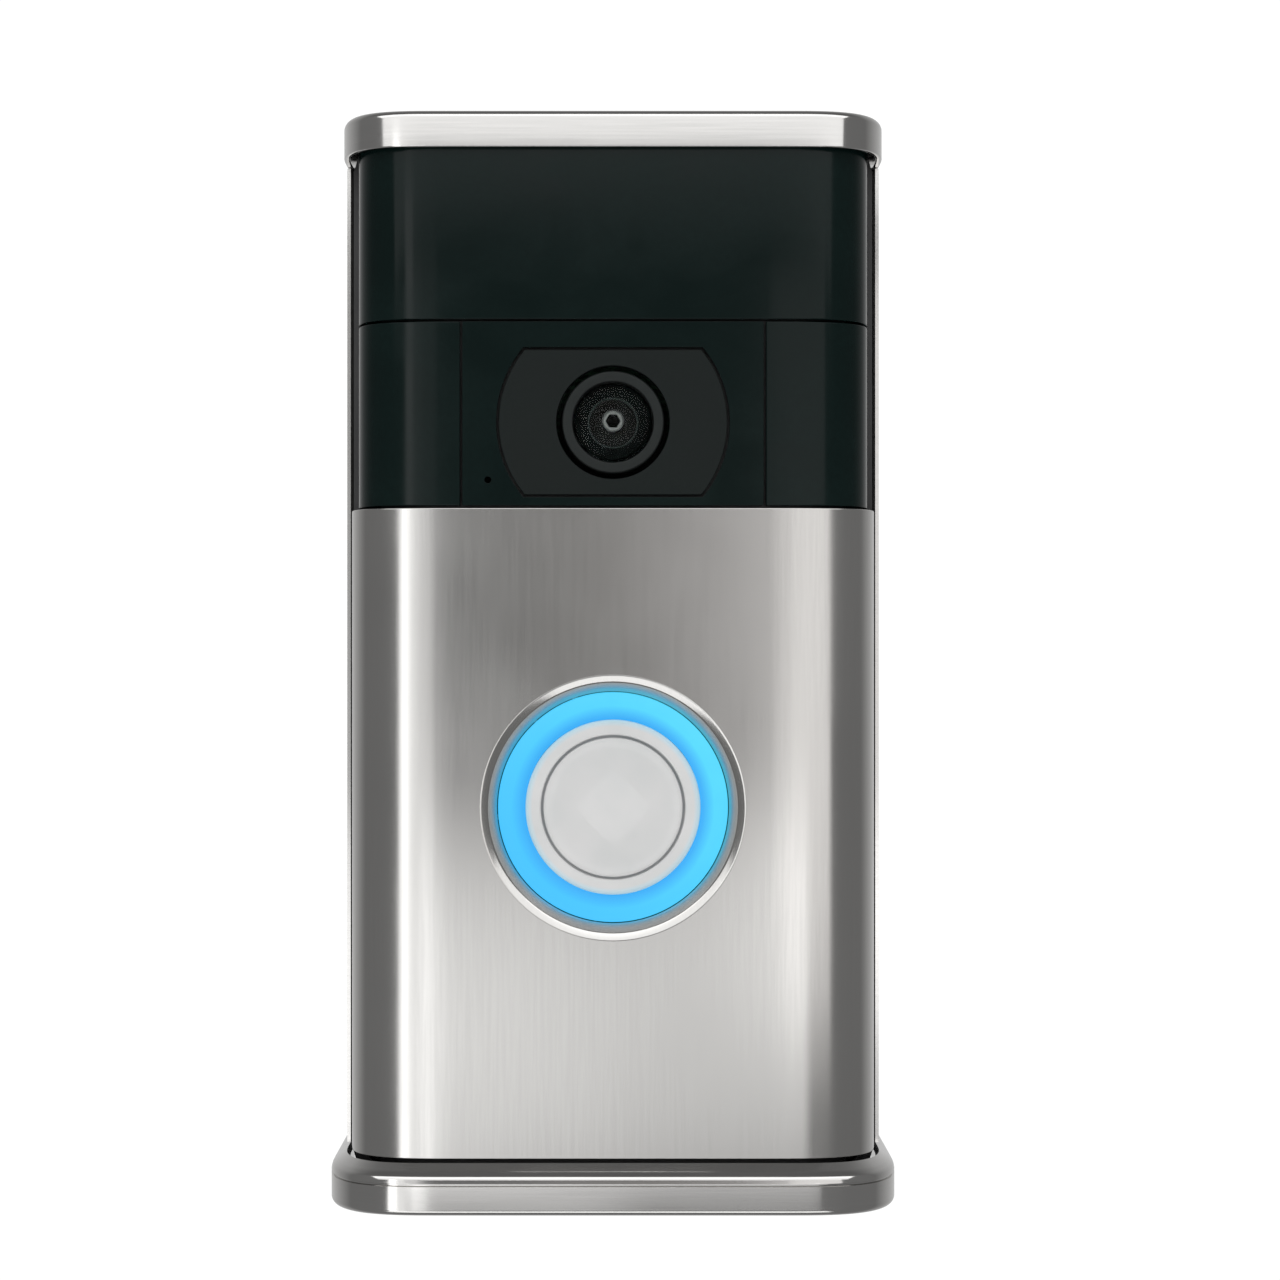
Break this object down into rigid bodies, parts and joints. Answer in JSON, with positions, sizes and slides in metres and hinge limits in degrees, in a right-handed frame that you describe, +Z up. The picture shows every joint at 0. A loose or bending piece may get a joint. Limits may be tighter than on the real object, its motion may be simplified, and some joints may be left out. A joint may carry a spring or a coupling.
{
  "type": "video doorbell",
  "caption": "Battery video doorbell with black camera head, satin metal face cover and lit ring button, held in a polished steel wrap-around wall bracket.",
  "frame": {"origin": "centre of the bracket's back face, on the wall plane", "axes": "+Y into the wall, -Y to the front where the button and camera face, +Z up, +X to the right seen from the front"},
  "size_m": [0.067, 0.031, 0.1291],
  "materials": {
    "polished_steel": "polished",
    "screw_steel": "zinc plated",
    "satin_nickel": "satin",
    "gloss_black": "gloss",
    "matte_grey": "matte",
    "housing_plastic": "fine texture",
    "lens_metal": "anodised",
    "lens_glass": "coated",
    "bright_metal": "satin",
    "blue_light": "lit diffuser",
    "white_plastic": "satin",
    "rubber": "matte",
    "circuit_board": "solder mask",
    "battery_wrap": "shrink film",
    "orange_plastic": "satin",
    "brass": "bright",
    "flex_film": "film"
  },
  "bodies": {
    "unit": {"aperture_ring": "bright_metal", "battery_foam": "rubber", "battery_pack": "battery_wrap", "bracket_back_plate": "polished_steel", "button_surround": "white_plastic", "camera_board": "circuit_board", "camera_plate": "matte_grey", "flex_cable": "flex_film", "front_lens": "lens_glass", "head_cover_upper": "gloss_black", "head_panel_centre": "gloss_black", "head_panel_left": "gloss_black", "head_panel_right": "gloss_black", "housing_screw_1": "screw_steel", "housing_screw_2": "screw_steel", "housing_screw_3": "screw_steel", "housing_screw_4": "screw_steel", "image_sensor": "lens_metal", "inner_frame": "housing_plastic", "inner_lens": "lens_glass", "io_board": "circuit_board", "ir_led_left": "white_plastic", "ir_led_right": "white_plastic", "led_ring_board": "circuit_board", "lens_barrel": "matte_grey", "lens_bezel": "lens_metal", "lens_retainer": "matte_grey", "light_ring": "blue_light", "main_board": "circuit_board", "microphone": "bright_metal", "mounting_screw_1": "screw_steel", "mounting_screw_2": "screw_steel", "mounting_screw_3": "screw_steel", "mounting_screw_4": "screw_steel", "pir_board": "circuit_board", "pir_sensor_left": "bright_metal", "pir_sensor_right": "bright_metal", "rear_housing": "housing_plastic", "rf_shield": "bright_metal", "seal_gasket": "rubber", "speaker": "housing_plastic", "speaker_gasket": "rubber", "tact_switch_body": "housing_plastic", "terminal_block": "housing_plastic", "terminal_screw_left": "brass", "terminal_screw_right": "brass", "top_band": "polished_steel", "top_pad": "rubber", "usb_port": "bright_metal"},
    "button": {"button_cap": "white_plastic"},
    "switch_plunger": {"tact_plunger": "white_plastic"},
    "setup_key": {"setup_button": "orange_plastic"},
    "cover": {"face_cover": "satin_nickel"},
    "tray": {"bottom_band": "polished_steel", "bottom_pad": "rubber", "security_screw_left": "polished_steel", "security_screw_right": "polished_steel"}
  },
  "joints": [
    {"name": "button_press", "type": "slide", "parent": "unit", "child": "button", "axis": [0, 1, 0], "range_m": [0, 0.0006], "stiffness_N_per_m": 900, "springref_m": -0.0015},
    {"name": "plunger_press", "type": "slide", "parent": "unit", "child": "switch_plunger", "axis": [0, 1, 0], "range_m": [0, 0.0006]},
    {"name": "setup_press", "type": "slide", "parent": "unit", "child": "setup_key", "axis": [0, -1, 0], "range_m": [0, 0.0005], "stiffness_N_per_m": 800, "springref_m": -0.001},
    {"name": "cover_pull", "type": "slide", "parent": "unit", "child": "cover", "axis": [0, -1, 0], "range_m": [0, 0.03]},
    {"name": "tray_drop", "type": "slide", "parent": "unit", "child": "tray", "axis": [0, 0, -1], "range_m": [0, 0.02]}
  ],
  "couplings": [
    {"joint": "plunger_press", "follows": "button_press", "ratio": 1}
  ]
}
